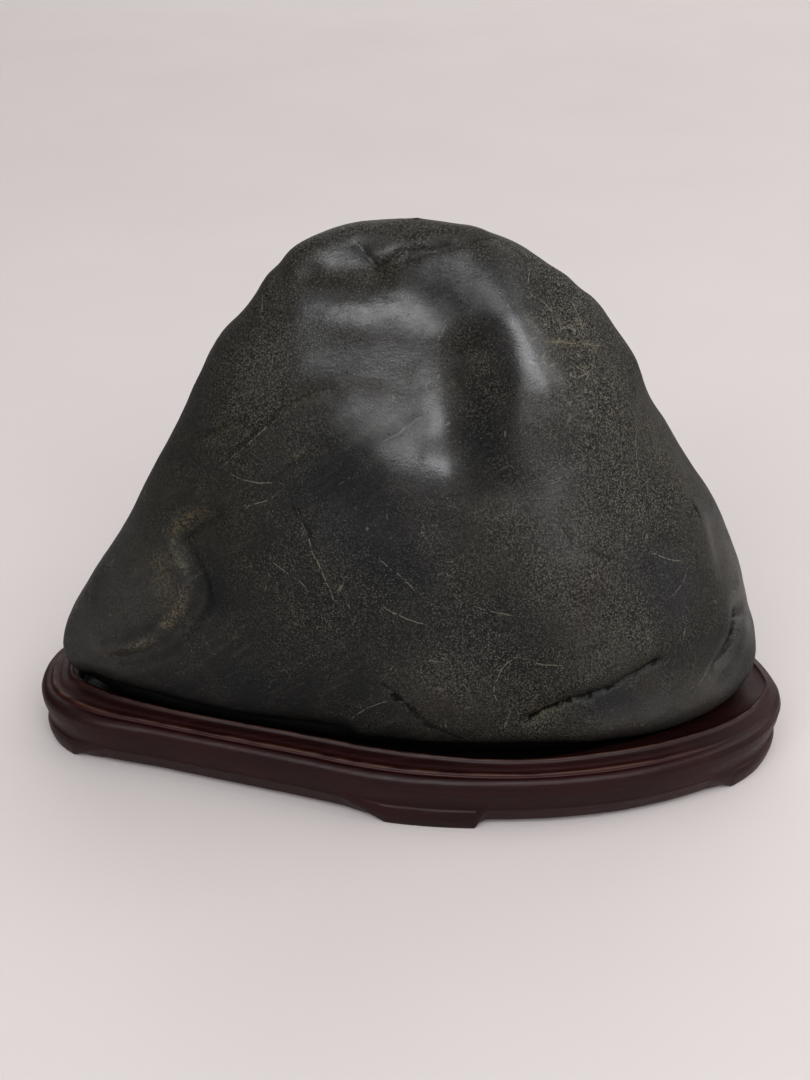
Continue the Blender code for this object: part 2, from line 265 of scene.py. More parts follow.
# %% The main relief
RELIEF = [
    # the front: a valley under the summit, between a smooth two-stepped swell and a ridge
    ([(25, -22, 174), (26, -28, 163), (26, -34, 149), (28, -39, 134)], 10.5, -5.0, 3),
    ([(20, -7, 197), (23, -16, 184), (25, -24, 170)], 11, -2.4, 2),
    ([(28, -5, 197), (34, -11, 187), (41, -17, 178), (46, -22, 169), (52, -27, 156)], 10, 3.3, 2),
    ([(-36, -7, 188), (-26, -12, 187), (-16, -14, 186)], 9, 1.3, 2),
    ([(-4, -8, 195), (2, -13, 189), (10, -17, 184)], 10, 1.7, 2),
    ([(-6, -38, 140), (3, -39, 138), (12, -39, 135)], 17, 4.6, 2),
    # the summit: a rough hollow with a smooth upper wall, a notch in that wall and a broken ledge
    ([(-34, -2, 197), (-22, -6, 197), (-10, -7, 198)], 6, -2.0, 2),
    ([(-13, -9, 194), (-11, -12, 189)], 4, -0.7, 2),
    ([(-12, -2, 204), (6, 2, 208), (26, 10, 208)], 4, 0.8, 2),
    ([(-24, 2, 203), (-16, 1, 205)], 7, -1.0, 2),
    ([(-40, 8, 200), (-22, 12, 208), (-5, 9, 211)], 8, 1.2, 2),
    ([(-19, 3, 207), (-13, -2, 202), (-10, -4, 200), (-6, -3, 203), (-2, -1, 205)], 2.2, -0.9, 1),
    ([(-9, -5, 200), (2, -3, 204), (19, 2, 207), (30, 8, 206), (43, 5, 199)], 3.0, -0.9, 1),
    # the left end: a low lobe, whose edge stands up along a crease and drops on the far side
    ([(-116, -8, 62), (-102, -12, 84), (-92, -12, 100)], 18, 2.4, 2),
    ([(-76, -20, 115), (-84, -17, 109), (-90, -16, 103), (-87, -21, 94), (-84, -25, 86), (-84, -27, 80),
      (-88, -27, 73), (-92, -26, 68), (-98, -25, 61), (-106, -22, 55), (-118, -17, 49)], 3.6, 1.3, 2),
    ([(-71, -23, 113), (-79, -20, 107), (-84, -19, 101), (-81, -24, 92), (-78, -28, 84), (-78, -30, 78),
      (-82, -30, 71), (-86, -30, 65), (-93, -28, 58), (-103, -25, 52), (-114, -20, 47)], 3.4, -2.4, 2),
    ([(-92, -21, 76), (-98, -21, 66)], 4, -1.0, 2),
    ([(-74, -31, 96), (-76, -34, 82)], 12, -2.6, 2),
    ([(-50, -46, 60), (-5, -54, 55)], 26, 1.8, 2),
    # slanting grooves across the left shoulder
    ([(-54, -18, 153), (-41, -20, 157), (-28, -23, 163)], 4, -0.8, 1.5),
    ([(-76, -10, 139), (-59, -17, 148)], 4, -0.8, 1.5),
    ([(-46, -27, 137), (-31, -31, 142)], 4, -0.5, 1.5),
    # the right side: a crack under a ledge, a smooth lobe below it, a cleft and a second shoulder
    ([(45, -55, 43), (58, -54, 49), (67, -52, 51), (77, -50, 55), (92, -44, 62)], 4.0, -2.4, 1),
    ([(54, -54, 56), (70, -51, 60), (86, -46, 66)], 6, 1.0, 2),
    ([(72, -50, 36), (104, -38, 42)], 15, 1.8, 2),
    ([(60, -53, 62), (84, -47, 70)], 12, 1.4, 2), ([(58, -54, 42), (86, -48, 50)], 7, -1.0, 2),
    ([(127, -15, 65), (125, -20, 58), (122, -25, 54), (117, -30, 50)], 4.5, -3.8, 1),
    ([(119, -23, 66), (115, -31, 57)], 5, 1.4, 2), ([(129, -16, 56), (124, -25, 47)], 5, 1.0, 2),
    ([(93, -30, 104), (102, -25, 100)], 5, -1.0, 2),
    ([(104, -14, 118), (110, -14, 102), (115, -18, 86)], 3.5, 0.8, 2),
    ([(62, 12, 184), (70, 12, 176), (80, 10, 160)], 11, 2.1, 2),
    ([(60, 4, 186), (61, 22, 185)], 5, -1.2, 2), ([(122, 8, 93), (128, -4, 70), (132, -8, 54)], 14, 1.8, 2),
    ([(10, 6, 211), (19, 7, 210)], 8, 1.9, 2),
    # the foot is undercut along the front, so that a dark gap stays above the seat
    ([(-124, -10, 27), (-100, -23, 27), (-75, -32, 27), (-50, -40, 27), (-28, -45, 27)], 8.5, -4.0, 2),
    ([(-10, -48, 27), (25, -51, 27), (50, -51, 27), (80, -46, 27)], 5.5, -1.8, 2),
    # outline of the left shoulder
    ([(-47, -2, 196), (-46, 16, 196)], 5, -1.3, 2),
    ([(-66, -4, 172), (-67, 18, 170)], 7, 0.7, 2),
    ([(-77, -2, 156), (-77, 16, 156)], 7, -0.8, 2),
    # the back: a long hollow, a rib beside it, a dish and a low ledge
    ([(-18, 34, 184), (-26, 44, 150), (-24, 51, 112)], 17, -4.2, 2),
    ([(10, 30, 192), (16, 43, 158), (18, 52, 118), (12, 56, 78)], 13, 3.0, 2),
    ([(62, 40, 140), (70, 47, 105)], 18, -3.2, 2),
    ([(-104, 28, 70), (-62, 46, 62), (-20, 54, 70)], 8, -2.2, 2),
    ([(-88, 42, 40), (-34, 53, 40)], 15, 1.8, 2),
    ([(34, 53, 84), (58, 52, 66), (86, 43, 58)], 4.5, -1.8, 1),
]
# Broad unevenness: wavelength, direction, height and phase of each wave.
WAVES = [
    (74, (0.8, 0.3, 0.5), 0.50, 0.4), (59, (-0.5, 0.6, 0.6), 0.45, 2.1), (46, (0.3, -0.8, 0.5), 0.35, 4.0),
    (38, (0.7, 0.5, -0.5), 0.30, 1.2), (31, (-0.6, -0.2, 0.8), 0.22, 5.1),
]

rise = sum(stroke(plain, *feature) for feature in RELIEF)
for length, direction, height, phase in WAVES:
    rise += height * np.sin(2 * math.pi / length * (plain @ np.array(direction)) + phase)
print("main relief runs from", rise.min().round(1), "to", rise.max().round(1), "mm")

# %% [markdown]
# ## Fine cracks
#
# Cracks and nicks come next. They are narrow, so they are kept apart from the main relief, and their paths
# are used again further down to say where painted shade darkens them. A little soft noise makes the faces
# uneven;
# it is weaker where hands have rubbed the stone smooth, so those places are marked first.

# %% Where the stone is rubbed smooth
def patch(p, spots, sharpness=2):
    """The strongest of several soft spots round paths: weight * exp(-(distance / radius) ^ sharpness)."""
    return np.max([stroke(p, path, radius, weight, sharpness) for path, radius, weight in spots], axis=0)


uneven = np.stack([layered_noise(plain, 9.0, 2, seed) for seed in (51, 52, 53)], axis=-1)
worn_smooth = patch(plain + 2.0 * uneven, [
    ([(-32, -8, 188), (-14, -13, 187), (4, -16, 185)], 11, 0.9),
    ([(-26, -18, 174), (8, -25, 170)], 13, 0.7),
    ([(-14, -28, 157), (4, -31, 155)], 12, 0.62), ([(0, -37, 142), (10, -39, 136)], 12, 0.8),
    ([(6, -29, 160), (9, -31, 154)], 6, 0.85), ([(9, -36, 143), (13, -38, 137)], 7, 1.0),
    ([(-25, 1, 202), (-16, 0, 203)], 8, 1.0), ([(-11, 1, 206), (-6, -1, 205)], 4, 0.6),
    ([(11, -6, 199), (25, -5, 198), (32, -10, 189)], 9, 0.55), ([(22, -3, 202), (32, -10, 190)], 6, 0.5),
    ([(37, -15, 182), (41, -19, 174), (46, -22, 167)], 7, 1.0),
    ([(47, -30, 150), (51, -35, 134), (54, -41, 112)], 12, 0.62),
    ([(-118, -12, 50), (-100, -20, 78)], 24, 0.4), ([(80, -48, 40), (118, -28, 44)], 15, 0.45),
    ([(-22, -42, 120), (4, -44, 118)], 14, 0.3), ([(78, -39, 103), (100, -34, 83)], 12, 0.35),
    ([(116, -8, 100), (131, -10, 60)], 12, 0.6), ([(67, -53, 49), (79, -50, 45)], 6, 0.15),
])
sheltered = patch(plain + uneven, [
    ([(25, -25, 168), (27, -29, 160), (28, -38, 137)], 10.5, 1.0),
    ([(24, -17, 182), (25, -23, 172)], 9, 0.55),
    ([(-34, -2, 197), (-22, -6, 197), (-8, -6, 199)], 5, 0.9),
], sharpness=3)
worn_smooth *= (1 - 0.85 * sheltered) * np.clip(0.9 + 0.35 * layered_noise(plain, 5.0, 2, 61), 0, 1)
# Unpolished places in the valley and the summit hollow: rougher, and darkened there with painted shade.
unpolished_and_shaded = patch(plain + uneven, [
    ([(26, -28, 161), (27, -34, 147)], 10, 1.0), ([(24, -18, 180), (25, -25, 168)], 9, 0.15),
    ([(-32, -2, 197), (-12, -6, 198)], 5, 0.3),
])

# %% Cracks, nicks and their painted shade
# Path, half width in mm, depth in mm and how dark the painted shade in it is.
CRACKS = [
    ([(-19, 3, 207), (-16, 0, 205), (-13, -2, 202), (-10, -4, 200)], 1.1, -0.9, 0.5),
    ([(-10, -4, 200), (-6, -3, 203), (-2, -1, 205), (5, -1, 206)], 1.2, -0.8, 0.45),
    ([(-9, -5, 200), (-3, -4, 202), (2, -3, 204), (11, -1, 206), (19, 2, 207),
      (30, 8, 206)], 0.9, -0.6, 0.3),
    ([(-8, -11, 192), (-4, -12, 191)], 0.9, -0.5, 0.5),
    ([(-20, -12, 188), (-15, -14, 186)], 0.9, -0.4, 0.3),
    ([(-67, -19, 133), (-58, -21, 142), (-49, -21, 150), (-45, -21, 154), (-28, -23, 163)], 1.0, -0.6, 0.4),
    ([(-76, -10, 139), (-68, -13, 143), (-59, -17, 148)], 1.2, -0.6, 0.4),
    ([(-49, -28, 129), (-43, -29, 136), (-36, -29, 141), (-28, -31, 144)], 1.0, -0.5, 0.3),
    ([(-40, -34, 121), (-37, -36, 116), (-35, -37, 112)], 0.9, -0.4, 0.5),
    ([(-8, -32, 147), (-3, -32, 151), (1, -31, 153), (4, -30, 155)], 0.8, -0.4, 0.1),
    ([(-77, -22, 109), (-85, -20, 99), (-82, -25, 90), (-79, -29, 82)], 1.3, -0.6, 0.35),
    ([(45, -55, 43), (49, -55, 45), (58, -54, 49), (61, -53, 51), (67, -52, 51)], 1.3, -3.0, 1.0),
    ([(67, -52, 51), (69, -52, 53), (77, -50, 55), (80, -49, 58), (85, -47, 60),
      (92, -44, 62)], 1.3, -2.8, 1.0),
    ([(59, -52, 68), (65, -51, 71), (70, -49, 73)], 1.0, -0.6, 0.3),
    ([(127, -15, 64), (125, -20, 57), (122, -25, 54), (118, -29, 52)], 1.6, -2.8, 1.0),
    ([(106, -13, 112), (108, -13, 108), (109, -14, 105)], 0.9, -0.6, 0.6),
    ([(55, -39, 122), (56, -41, 114), (58, -42, 109)], 0.9, -1.0, 0.35),
    ([(65, -41, 108), (69, -41, 106), (73, -40, 104)], 0.9, -0.8, 0.45),
    ([(-9, -51, 58), (-6, -52, 55), (-4, -52, 53)], 1.0, -0.9, 0.8),
    ([(0, -53, 50), (8, -54, 42), (14, -54, 38), (21, -54, 34)], 1.0, -0.8, 0.6),
]
wander = np.stack([layered_noise(plain, 7.0, 2, seed) for seed in (31, 37, 41)], axis=-1)
for path, width, depth, _ in CRACKS:
    fall = np.exp(-distance_to_path(plain + 0.8 * wander, path, 8 + 4 * width, normals) / width)
    fall *= np.clip(0.8 + 0.5 * lattice_noise(plain, 3.0, 11), 0, 1)
    rise += depth * fall
fine = 0.30 * layered_noise(plain, 21.0, 2, 3) + 0.10 * layered_noise(plain, 6.0, 2, 7)
rise += fine * (1 - 0.6 * worn_smooth)
# Nothing may stand out where the seat holds the stone; hollows may start lower down than bumps.
BUMPS_FROM, BUMPS_FULL = 26.0, 40.0          # heights in mm between which bumps grow to full size
HOLLOWS_FROM, HOLLOWS_FULL = 23.0, 28.0      # the same for hollows
room_up = (plain[..., 2] - BUMPS_FROM) / (BUMPS_FULL - BUMPS_FROM)
room_down = (plain[..., 2] - HOLLOWS_FROM) / (HOLLOWS_FULL - HOLLOWS_FROM)
room = np.where(rise > 0, room_up, room_down)
stone_rows = plain + (rise * np.clip(room, 0, 1))[..., None] * normals
print("fine relief runs from", fine.min().round(2), "to", fine.max().round(2), "mm")


# %% [markdown]
# ## Hairlines
#
# Light hairlines cross the stone: scratches and old healed cracks half a millimetre wide. They are too thin
# for the grid, so the mesh stores how far each point lies to the left or right of the nearest line. That
# number changes evenly across a line, and the material draws the line sharply where it is zero.


# %% Signed distance to the hairlines
def hairline_distance(p, normals, lines, weights, reach=4.0):
    """Signed distance in mm to the nearest line, and its weight, which fades to 0 at the reach.

    The sign is that of ((b - a) x (p - a)) . normal for the line's nearest stretch from a to b.
    """
    nearest = np.full(p.shape[:-1], reach)
    sign = np.ones(p.shape[:-1])
    weight = np.zeros(p.shape[:-1])
    for line, own_weight in zip(lines, weights):
        path = through(line, np.linspace(0, 1, 4 * len(line) - 3))
        near = np.all((p > path.min(axis=0) - reach) & (p < path.max(axis=0) + reach), axis=-1)
        q = p[near]
        for a, b in zip(path[:-1], path[1:]):
            run = b - a
            t = np.clip(((q - a) @ run) / (run @ run), 0, 1)
            away = q - a - t[:, None] * run
            away -= (away * normals[near]).sum(axis=-1, keepdims=True) * normals[near]
            away = np.linalg.norm(away, axis=-1)
            side = np.sign((np.cross(run, q - a) * normals[near]).sum(axis=-1) + 1e-9)
            closer = away < nearest[near]
            nearest[near] = np.where(closer, away, nearest[near])
            sign[near] = np.where(closer, side, sign[near])
            weight[near] = np.where(closer, own_weight, weight[near])
    return sign * nearest, weight * np.clip(1.5 * (1 - nearest / reach), 0, 1)


HAIRLINES = [
    [(30, 8, 206), (39, 10, 203), (43, 5, 199), (41, -4, 192), (48, -5, 188), (51, -7, 184), (54, -8, 180)],
    [(46, -15, 177), (55, -12, 176), (62, -9, 174), (69, -5, 171)],
    [(58, 1, 185), (60, -2, 182), (62, -6, 177)],
    [(52, -20, 165), (55, -21, 162), (58, -19, 164), (64, -14, 166)], [(-52, 5, 186), (-52, -1, 181)],
    [(80, -11, 152), (82, -11, 148), (83, -14, 143), (83, -17, 139), (84, -22, 130)],
    [(-43, 14, 199), (-47, 12, 197)],
    [(-8, -32, 147), (-3, -32, 151), (1, -31, 153), (4, -30, 155)],
    [(-39, -34, 120), (-35, -37, 110), (-29, -42, 96)],
    [(-32, -40, 104), (-28, -43, 93), (-27, -44, 88)], [(-9, -44, 106), (-1, -46, 98), (3, -47, 95)],
    [(-8, -47, 88), (-2, -49, 85), (6, -50, 83)], [(26, -50, 89), (36, -51, 87)],
    [(39, -53, 71), (33, -54, 65), (31, -55, 57), (32, -55, 53)],
    [(-21, -50, 40), (-15, -51, 47), (-8, -52, 51)],
    [(2, -53, 47), (9, -54, 42), (15, -54, 38), (22, -54, 34)], [(14, -54, 43), (15, -54, 39)],
    [(37, -55, 46), (36, -55, 40)], [(8, -52, 69), (11, -53, 69)], [(-6, -51, 66), (-9, -51, 62)],
    [(44, -53, 69), (55, -53, 66)], [(89, -33, 102), (95, -31, 99), (100, -29, 97)],
    [(103, -29, 91), (101, -32, 88), (97, -36, 86)], [(-63, -23, 128), (-54, -27, 128), (-49, -28, 129)],
    [(-58, -28, 118), (-48, -30, 124)], [(-48, -36, 100), (-41, -39, 96), (-37, -41, 93)],
    [(-66, -20, 132), (-58, -22, 141), (-49, -22, 149)], [(114, -33, 55), (110, -35, 50), (106, -37, 48)],
]
strength = np.ones(len(HAIRLINES))
strength[7] = 0.74            # the one across the polished front is faint
vein, vein_on = hairline_distance(plain + 0.7 * wander, normals, HAIRLINES, strength)
crack_paths = [c[0] for c in CRACKS]
# How dark the painted shade in each crack is.
crack_shade_weights = [c[3] for c in CRACKS]
crack, crack_on = hairline_distance(plain + 0.8 * wander, normals, crack_paths, crack_shade_weights)
print("points near a hairline:", int((vein_on > 0).sum()))

# %% [markdown]
# ## Stains, tints and painted light
#
# Earth has stayed in the creases as ochre, the low ends lean to olive and slate grey shows in the hollows.
# The pale patches are partly the stone's own paler tone and partly painted light on the right side, the top
# and the upper edges, and a dark band of painted shade marks the foot above the seat. The grainy patches and
# the net of fine lines have soft spots of their own. All of them are numbers per point, stored on the mesh by
# name.

# %% Build the stone and store its patches
ochre = patch(plain + 0.5 * uneven, [
    ([(-75, -21, 113), (-80, -19, 109), (-87, -18, 104)], 2.0, 1.0),
    ([(-88, -18, 101), (-84, -24, 89)], 1.4, 0.7),
    ([(-84, -26, 82), (-86, -27, 75), (-91, -26, 67)], 2.3, 0.95),
    ([(-97, -25, 60), (-106, -22, 54)], 1.8, 1.0),
    ([(-107, -22, 53), (-118, -17, 47)], 1.5, 0.6), ([(-92, -18, 90), (-90, -24, 76)], 6, 0.45),
    ([(49, -55, 45), (60, -54, 50)], 4, 0.45), ([(-72, -13, 139), (-62, -16, 148)], 2.4, 0.55),
    ([(-45, -21, 154), (-30, -23, 162)], 1.6, 0.6), ([(-40, -28, 139), (-28, -31, 144)], 1.6, 0.5),
    ([(48, -14, 177), (66, -7, 172)], 1.4, 0.7), ([(-42, 12, 200), (-49, 6, 192)], 2.5, 0.5),
    ([(-12, -7, 198), (-4, -5, 202)], 2.5, 0.35),
])
# Painted shade: a near-black band round the stone's foot, just above the seat, for the shadow in the gap
# there.
foot_shade_top = np.interp(plain[..., 0], (-135, -70, -10, 60, 130), (32.0, 32.0, 30.0, 29.5, 28.0))
foot_shade = np.clip((foot_shade_top - plain[..., 2] - 1.2 * uneven[..., 0]) / 2.5, 0, 1)
olive = patch(plain + uneven, [
    ([(-115, -12, 60), (-80, -26, 90)], 34, 0.7), ([(118, -25, 70), (96, -30, 110)], 24, 0.6),
    ([(-94, -17, 95), (-90, -22, 82)], 9, 1.0), ([(23, -20, 177), (25, -25, 168)], 8, 0.9),
    ([(46, -55, 57), (50, -55, 39)], 14, 0.8), ([(-34, -1, 197), (-11, -8, 196)], 8, 1.0),
    ([(5, 3, 209), (40, 8, 204)], 8, 0.6),
])
slate = patch(plain + uneven, [
    ([(-27, -34, 132), (-14, -41, 118), (-5, -45, 104)], 15, 1.1),
    ([(91, -35, 98), (98, -35, 85)], 10, 1.2),
    ([(-95, -32, 40), (-50, -47, 44)], 14, 0.6), ([(-76, -30, 92), (-72, -32, 80)], 8, 0.8),
    ([(12, -8, 198), (31, -9, 191)], 12, 0.7), ([(66, -53, 50), (80, -50, 48)], 6, 0.8),
    ([(26, -33, 150), (27, -35, 143)], 8, 0.8), ([(-35, -44, 92), (-5, -50, 78)], 10, 0.4),
    ([(30, -50, 88), (44, -53, 76)], 9, 0.35),
])
# Partly the stone's own paler tone, partly painted light: the right side, the top and the upper edges are
# made lighter, as they are lit more.
pale = patch(plain + uneven, [
    ([(60, -10, 176), (80, -28, 140), (92, -32, 112)], 24, 0.85),
    ([(88, -6, 143), (100, -12, 121)], 13, 1.1),
    ([(58, -40, 118), (62, -48, 88), (72, -48, 74)], 20, 0.95), ([(12, -44, 112), (36, -43, 118)], 20, 0.5),
    ([(-43, -3, 188), (-54, -13, 162)], 11, 0.8), ([(-33, -3, 195), (-12, -7, 197)], 6, 0.7),
    ([(-15, 6, 210), (40, 6, 202)], 14, 0.75),
    ([(116, -12, 100), (131, -10, 60)], 12, 0.7), ([(75, -52, 42), (115, -34, 45)], 14, 0.6),
    ([(5, -54, 60), (45, -55, 48)], 14, 0.55), ([(-118, -12, 66), (-90, -6, 118)], 9, 0.4),
    ([(45, -24, 165), (45, -33, 148)], 12, 0.5), ([(-30, 30, 190), (60, 40, 120)], 60, 0.6),
])
network = patch(plain, [([(53, -10, 179), (60, -16, 165), (70, -18, 150)], 14, 1.0)])
grainy = patch(plain + uneven, [
    ([(54, 6, 192), (68, -25, 144), (87, -29, 114)], 30, 1.0), ([(54, -42, 113), (84, -41, 88)], 26, 0.9),
    ([(19, -52, 77), (48, -55, 53)], 24, 0.75), ([(-56, -16, 155), (-42, -9, 179)], 22, 0.7),
    ([(4, 5, 211), (-36, 8, 204)], 18, 0.7), ([(-29, -43, 89), (-3, -44, 106)], 26, 0.6),
    ([(-10, 40, 170), (40, 48, 110)], 60, 0.8),
])

stone = closed_skin("stone_surface", stone_rows)
STORED = {
    "worn_smooth": worn_smooth, "unpolished_and_shaded": unpolished_and_shaded, "ochre": ochre, "olive": olive, "crack": crack,
    "crack_on": crack_on, "slate": slate, "pale": pale, "network": network, "grainy": grainy, "vein": vein,
    "vein_on": vein_on, "foot_shade": foot_shade,
}
for name, values in STORED.items():
    paint(stone, name, values)
print("stored on the stone:", ", ".join(STORED))
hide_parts("stone")
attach(stone, "root")

# %% [markdown]
# ## The stand's rim and feet
#
# The stand is one piece of hardwood, cut to the stone's foot. A carver saws out the outline, sinks the seat,
# cuts a moulding round the edge and leaves four low feet standing. Here the outline is a closed curve through
# a few points, and every other line of the stand runs beside it at some distance.

# %% Rim and feet
# Heights in mm.
STAND_TOP = 27.5
SEAT_FLOOR = 20.0
UNDERSIDE = 3.0
SHELF = 26.2           # the flat shelf round the seat
# The rim's outermost line, counterclockwise from the right end: x, y, distance to the seat's ridge, and
# width of the flat shelf inside the ridge.
RIM = [
    (149.8, -3, 5.5, 14), (134, 33, 7.5, 10), (85, 58, 9.5, 7), (10, 67, 10, 5), (-70, 63.5, 11, 5),
    (-123, 48, 12, 6), (-147, 22, 11.5, 5), (-148.1, -7, 12.8, 3), (-130, -26, 14.5, 2.4),
    (-95, -37.2, 10.9, 2.2), (-50, -51.2, 11.2, 2.2), (-5, -64.5, 11.8, 2.2), (40, -67.3, 9.3, 2.4),
    (82, -62, 10, 6), (118, -48.5, 9.3, 9.8), (142, -29, 8, 13),
]
# Feet, as fractions of the way round: side cut starts, flat starts, flat ends, side cut ends.
FEET = [(0.165, 0.178, 0.212, 0.225), (0.302, 0.318, 0.484, 0.518), (0.658, 0.681, 0.729, 0.735),
        (0.873, 0.898, 1.070, 1.085)]


def rim_line(u):
    """The rim's outermost line at u (0 to 1 round it): point, outward normal, ridge distance and shelf.

    The normal is the direction ahead, from the points just before and after u, turned a quarter outwards.
    """
    x, y, ridge, shelf = np.moveaxis(through(RIM, u, closed=True), -1, 0)
    ahead = through(RIM, u + 0.002, closed=True)[..., :2] - through(RIM, u - 0.002, closed=True)[..., :2]
    ahead /= np.linalg.norm(ahead, axis=-1, keepdims=True)
    return np.stack([x, y], axis=-1), np.stack([ahead[..., 1], -ahead[..., 0]], axis=-1), ridge, shelf


def footing(u):
    """1 on a foot, 0 between the feet, sloping along a foot's side cuts, with slightly rounded corners.

    It is the mean of the straight-sided shape at five places close together, which rounds each corner.
    """
    weight = np.zeros_like(u)
    for shift in np.linspace(-0.0007, 0.0007, 5):
        here = np.zeros_like(u)
        for corners in FEET:
            for lap in (-1, 0, 1):
                here = np.maximum(here, np.interp(u + shift, np.add(corners, lap), (0, 1, 1, 0)))
        weight += here / 5
    return weight


# %% [markdown]
# ## The stand's moulding
#
# The moulding is one profile carried along the rim: from the middle of the underside out, up over the feet
# or the apron, over the rim and into the seat. The apron between the feet turns under with a wide chamfer,
# and each foot has a waist and a small knee. The two profiles have matching points, so a foot's side cut is
# a mix of both. Round the right end the steps of the moulding run out into one slope.

# %% The moulding's profile
# Share of the ridge's distance, share of the shelf, mm added, mm added on a foot, apron height, foot height.
MOULDING = np.array([
    (0, 0, 16, 0, UNDERSIDE, UNDERSIDE), (0, 0, 15, 0, UNDERSIDE, 0), (0, 0, 4.4, 0.6, UNDERSIDE, 0),
    (0, 0, 1.5, 1.2, 9.8, 0), (0, 0, 1.4, 0.6, 10.4, 1.2), (0, 0, 1.4, -0.2, 11.0, 4.4),
    (0, 0, 1.3, -0.3, 11.5, 6.6), (0, 0, 1.15, 0.4, 12.1, 8.6), (0, 0, 1.1, 1.2, 12.5, 9.4),
    (0, 0, 0.9, 1.0, 13.4, 11.4), (0, 0, 0.6, 0.6, 15.0, 14.0), (0, 0, 0.2, 0.2, 17.6, 17.0),
    (0, 0, 0, 0, 20.8, 20.8), (0.03, 0, 0.1, 0, 22.3, 22.3), (0.12, 0, 0.1, 0, 23.5, 23.5),
    (0.22, 0, 0, 0, 24.0, 24.0), (0.31, 0, 0, 0, 23.9, 23.9), (0.345, 0, 0, 0, 23.75, 23.75),
    (0.375, 0, 0, 0, 24.9, 24.9), (0.42, 0, 0, 0, 25.25, 25.25), (0.47, 0, 0, 0, 25.0, 25.0),
    (0.62, 0, 0, 0, 25.2, 25.2), (0.66, 0, 0, 0, 25.55, 25.55), (0.88, 0, 0, 0, 26.1, 26.1),
    (0.95, 0, 0, 0, 26.4, 26.4), (0.98, 0, 0, 0, 27.3, 27.3), (1.0, 0, 0.2, 0, STAND_TOP, STAND_TOP),
    (1.0, 0, 0.8, 0, 27.4, 27.4), (1.0, 0, 1.2, 0, 26.5, 26.5), (1.0, 1, 0, 0, SHELF, SHELF),
    (1.0, 1, 1.0, 0, SEAT_FLOOR, SEAT_FLOOR), (1.0, 1, 4.0, 0, SEAT_FLOOR, SEAT_FLOOR),
])


def fine_profile(rows, step, rounding):
    """The profile's rows at even steps along its length, with each corner rounded off.

    Lengths are measured on the apron's side at a ridge distance of 10 mm. The corners are rounded by
    averaging the straight-sided profile over a short stretch before and after each place.
    """
    flat = np.column_stack([10 * rows[:, 0] + 3 * rows[:, 1] + rows[:, 2], rows[:, 4]])
    foot = flat + np.column_stack([rows[:, 3], rows[:, 5] - rows[:, 4]])
    lengths = [np.linalg.norm(np.diff(side, axis=0), axis=1) for side in (flat, foot)]
    run = np.maximum(*lengths)
    along = np.concatenate([[0], np.cumsum(run)])
    place = np.linspace(0, along[-1], int(along[-1] / step))
    near = np.clip(place[:, None] + np.linspace(-rounding, rounding, 7), 0, along[-1])
    return np.stack([np.interp(near, along, column).mean(axis=1) for column in rows.T], axis=1), place


profile, profile_place = fine_profile(MOULDING, 0.5, 0.35)
print("profile points:", len(profile), "over", profile_place[-1].round(1), "mm")

# %% Columns of the stand
marks = np.sort(np.array(FEET).ravel() % 1.0)
steps = np.linspace(0, 1, 4001)
gap = np.min(np.abs((steps[:, None] - marks + 0.5) % 1.0 - 0.5), axis=1)
crowd = 1 + 4 * np.exp(-(gap / 0.0025) ** 2)            # columns crowd at the corners of the feet
filled = np.concatenate([[0], np.cumsum((crowd[1:] + crowd[:-1]) / 2)])
STAND_COLUMNS = 640
around = np.interp(np.arange(STAND_COLUMNS) / STAND_COLUMNS * filled[-1], filled, steps)

line, line_normal, ridge, shelf = rim_line(around)
foot = footing(around)
ridge_share, shelf_share, plus, foot_plus, apron_z, foot_z = profile.T[:, :, None]
inset = ridge_share * ridge + shelf_share * shelf + plus + foot_plus * foot
height = apron_z + (foot_z - apron_z) * foot
stand_rows = np.concatenate([line - inset[..., None] * line_normal, height[..., None]], axis=-1)
carving = 0.10 * layered_noise(stand_rows * [1, 1, 2], 9.0, 2, 21)
on_face = np.clip((inset.max() - inset) / 10, 0, 1) * np.clip(height / 3, 0, 1)
stand_rows[..., :2] += (carving * on_face)[..., None] * line_normal
# Round the right end the moulding runs out into one soft slope.
run_out = np.interp((around + 0.5) % 1.0, (0.31, 0.39, 0.60, 0.66), (0, 0.9, 0.9, 0))
slope = np.interp(profile[:, 0], (0, 0.12, 0.3, 0.6, 0.9, 1), (20.8, 23.3, 24.4, 25.4, 26.4, 27.4))[:, None]
on_slope = ((profile[:, 0] > 0) & (profile[:, 0] < 0.99))[:, None]
stand_rows[..., 2] += run_out * np.where(on_slope, slope - height, 0)
print("stand reaches", stand_rows.min(axis=(0, 1)).round(1), "to", stand_rows.max(axis=(0, 1)).round(1))

# %% Build the stand
stand = closed_skin("stand_surface", stand_rows)
top_side = profile[:, 4] > 21
# Where the seat lies, from the shelf down to its floor, so that it can be painted nearly black as shade.
seat_shade = (profile[:, 1] > 0.99) * np.clip((SHELF - profile[:, 4]) / 2, 0, 1)
rim_line_wear = np.exp(-((profile[:, 0] - 0.42) / 0.04) ** 2) * top_side
ridge_wear = np.exp(-((profile[:, 0] + profile[:, 2] / 10 - 1.03) / 0.05) ** 2) * (profile[:, 4] > 26.9)
groove = np.exp(-((profile[:, 0] - 0.33) / 0.035) ** 2) * top_side
groove = np.maximum(groove, 0.6 * np.exp(-((profile[:, 0] - 0.60) / 0.03) ** 2) * top_side)
paint(stand, "crest", np.maximum(rim_line_wear[:, None] * (1 - run_out), 0.8 * ridge_wear[:, None]))
paint(stand, "groove", groove[:, None] * (1 - run_out))
paint(stand, "seat", np.broadcast_to(seat_shade[:, None], stand_rows.shape[:2]))
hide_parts("stand")
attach(stand, "root")

# %% [markdown]
# ## Writing a material in words
#
# A material is a tree of nodes. The small class below adds one node per call, so that a finish reads like a
# recipe: `grain` is soft noise of a given size in mm, `cells` are small cells, `between` turns a range of
# numbers into a soft step, and `blend` mixes two colours.


